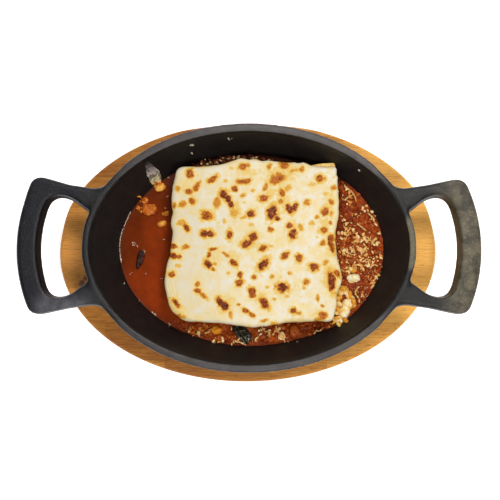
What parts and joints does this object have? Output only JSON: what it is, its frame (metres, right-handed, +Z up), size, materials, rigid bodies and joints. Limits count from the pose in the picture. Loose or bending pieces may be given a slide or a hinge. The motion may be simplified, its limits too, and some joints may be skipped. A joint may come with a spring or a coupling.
{
  "type": "lasagne bolognese in a cast-iron dish",
  "caption": "Browned, cheese-topped portion of lasagne in meat sauce, in an oval cast-iron dish with loop handles on an oval wooden board.",
  "frame": {"origin": "middle of the wooden board's underside, on the surface that it stands on", "axes": "+X along the dish from one handle to the other, +Y away from the diner, +Z up"},
  "size_m": [0.3196, 0.1936, 0.0563],
  "materials": {
    "wood": "oiled, satin",
    "cast_iron": "seasoned, semi-matt",
    "meat_sauce": "oily gloss",
    "meat_filling": "moist",
    "pasta": "moist satin",
    "browned_cheese": "baked, satin",
    "carrot": "wet",
    "browned_meat": "wet",
    "melted_cheese": "soft gloss",
    "herb": "wilted, moist",
    "baked_on_cheese": "dry"
  },
  "bodies": {
    "root": {"serving_board": "wood", "cast_iron_dish": "cast_iron", "bolognese_sauce": "meat_sauce", "lower_filling": "meat_filling", "lower_pasta_sheet": "pasta", "upper_filling": "meat_filling", "upper_pasta_sheet": "pasta", "gratin_top": "browned_cheese", "carrot_piece_1": "carrot", "carrot_piece_2": "carrot", "carrot_piece_3": "carrot", "carrot_piece_4": "carrot", "carrot_piece_5": "carrot", "browned_meat_piece": "browned_meat", "cheese_lump_1": "melted_cheese", "cheese_lump_2": "melted_cheese", "melted_cheese": "melted_cheese", "herb_leaf": "herb", "baked_cheese_streak": "baked_on_cheese"}
  },
  "joints": []
}
